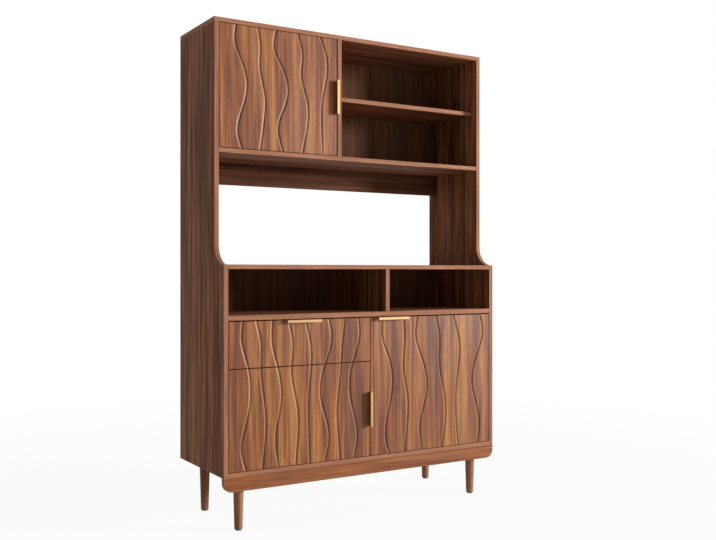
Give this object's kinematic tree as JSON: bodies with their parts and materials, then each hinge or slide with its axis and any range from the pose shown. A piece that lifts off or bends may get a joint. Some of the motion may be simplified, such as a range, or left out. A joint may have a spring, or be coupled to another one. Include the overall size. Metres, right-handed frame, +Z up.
{
  "type": "kitchen dresser",
  "caption": "Tall walnut kitchen dresser on tapered legs: wave-carved doors and drawer front with brass edge pulls, open serving niche, hutch opening, and an upper cabinet with open shelving.",
  "frame": {"origin": "on the floor under the middle of the dresser's whole outline, pulls included", "axes": "+X to the right seen from the front, +Y to the back, +Z up; the doors and drawer open towards -Y"},
  "size_m": [1.2, 0.42, 1.8],
  "materials": {
    "walnut_carcass": "satin laminate",
    "walnut_front": "satin, carved",
    "walnut_back_sheet": "matt hardboard",
    "walnut_leg": "satin lacquer",
    "drawer_board": "matt laminate",
    "drawer_sheet": "matt hardboard",
    "brass": "brushed",
    "nickel_steel": "nickel plated",
    "zinc_steel": "zinc plated",
    "dark_plastic": "matt"
  },
  "bodies": {
    "carcass": {"side_panel_left": "walnut_carcass", "side_panel_right": "walnut_carcass", "top_panel": "walnut_carcass", "upper_floor": "walnut_carcass", "upper_divider": "walnut_carcass", "open_shelf": "walnut_carcass", "upper_cupboard_shelf": "walnut_carcass", "hutch_back_rail": "walnut_carcass", "counter_top": "walnut_carcass", "niche_divider": "walnut_carcass", "deck_panel": "walnut_carcass", "base_divider": "walnut_carcass", "bottom_panel": "walnut_carcass", "right_cupboard_shelf": "walnut_carcass", "apron": "walnut_carcass", "upper_back_panel": "walnut_back_sheet", "lower_back_panel": "walnut_back_sheet", "shelf_pins": "zinc_steel", "leg_front_left": "walnut_leg", "leg_front_right": "walnut_leg", "leg_back_left": "walnut_leg", "leg_back_right": "walnut_leg", "leg_plates": "zinc_steel", "leg_glides": "dark_plastic", "runner_cabinet_left": "zinc_steel", "runner_cabinet_right": "zinc_steel", "upper_door_hinge_arms": "nickel_steel", "upper_door_hinge_mounts": "nickel_steel", "lower_left_door_hinge_arms": "nickel_steel", "lower_left_door_hinge_mounts": "nickel_steel", "lower_right_door_hinge_arms": "nickel_steel", "lower_right_door_hinge_mounts": "nickel_steel"},
    "drawer": {"drawer_front": "walnut_front", "drawer_side_left": "drawer_board", "drawer_side_right": "drawer_board", "drawer_inner_front": "drawer_board", "drawer_back": "drawer_board", "drawer_bottom": "drawer_sheet", "drawer_pull": "brass", "runner_drawer_left": "zinc_steel", "runner_drawer_right": "zinc_steel"},
    "runner_middles": {"runner_middle_left": "zinc_steel", "runner_middle_right": "zinc_steel"},
    "upper_door": {"upper_door": "walnut_front", "upper_door_pull": "brass", "upper_door_hinge_cups": "nickel_steel"},
    "lower_left_door": {"lower_left_door": "walnut_front", "lower_left_door_pull": "brass", "lower_left_door_hinge_cups": "nickel_steel"},
    "lower_right_door": {"lower_right_door": "walnut_front", "lower_right_door_pull": "brass", "lower_right_door_hinge_cups": "nickel_steel"}
  },
  "joints": [
    {"name": "upper_door_hinge", "type": "hinge", "parent": "carcass", "child": "upper_door", "pos_m": [-0.579, -0.109, 1.563], "axis": [0, 0, -1], "range_deg": [0, 105]},
    {"name": "lower_left_door_hinge", "type": "hinge", "parent": "carcass", "child": "lower_left_door", "pos_m": [-0.579, -0.189, 0.3915], "axis": [0, 0, -1], "range_deg": [0, 105]},
    {"name": "lower_right_door_hinge", "type": "hinge", "parent": "carcass", "child": "lower_right_door", "pos_m": [0.579, -0.189, 0.474], "axis": [0, 0, 1], "range_deg": [0, 105]},
    {"name": "drawer_slide", "type": "slide", "parent": "carcass", "child": "drawer", "axis": [0, -1, 0], "range_m": [0, 0.34]},
    {"name": "runner_middles_slide", "type": "slide", "parent": "carcass", "child": "runner_middles", "axis": [0, -1, 0], "range_m": [0, 0.17]}
  ],
  "couplings": [
    {"joint": "runner_middles_slide", "follows": "drawer_slide", "ratio": 0.5}
  ]
}
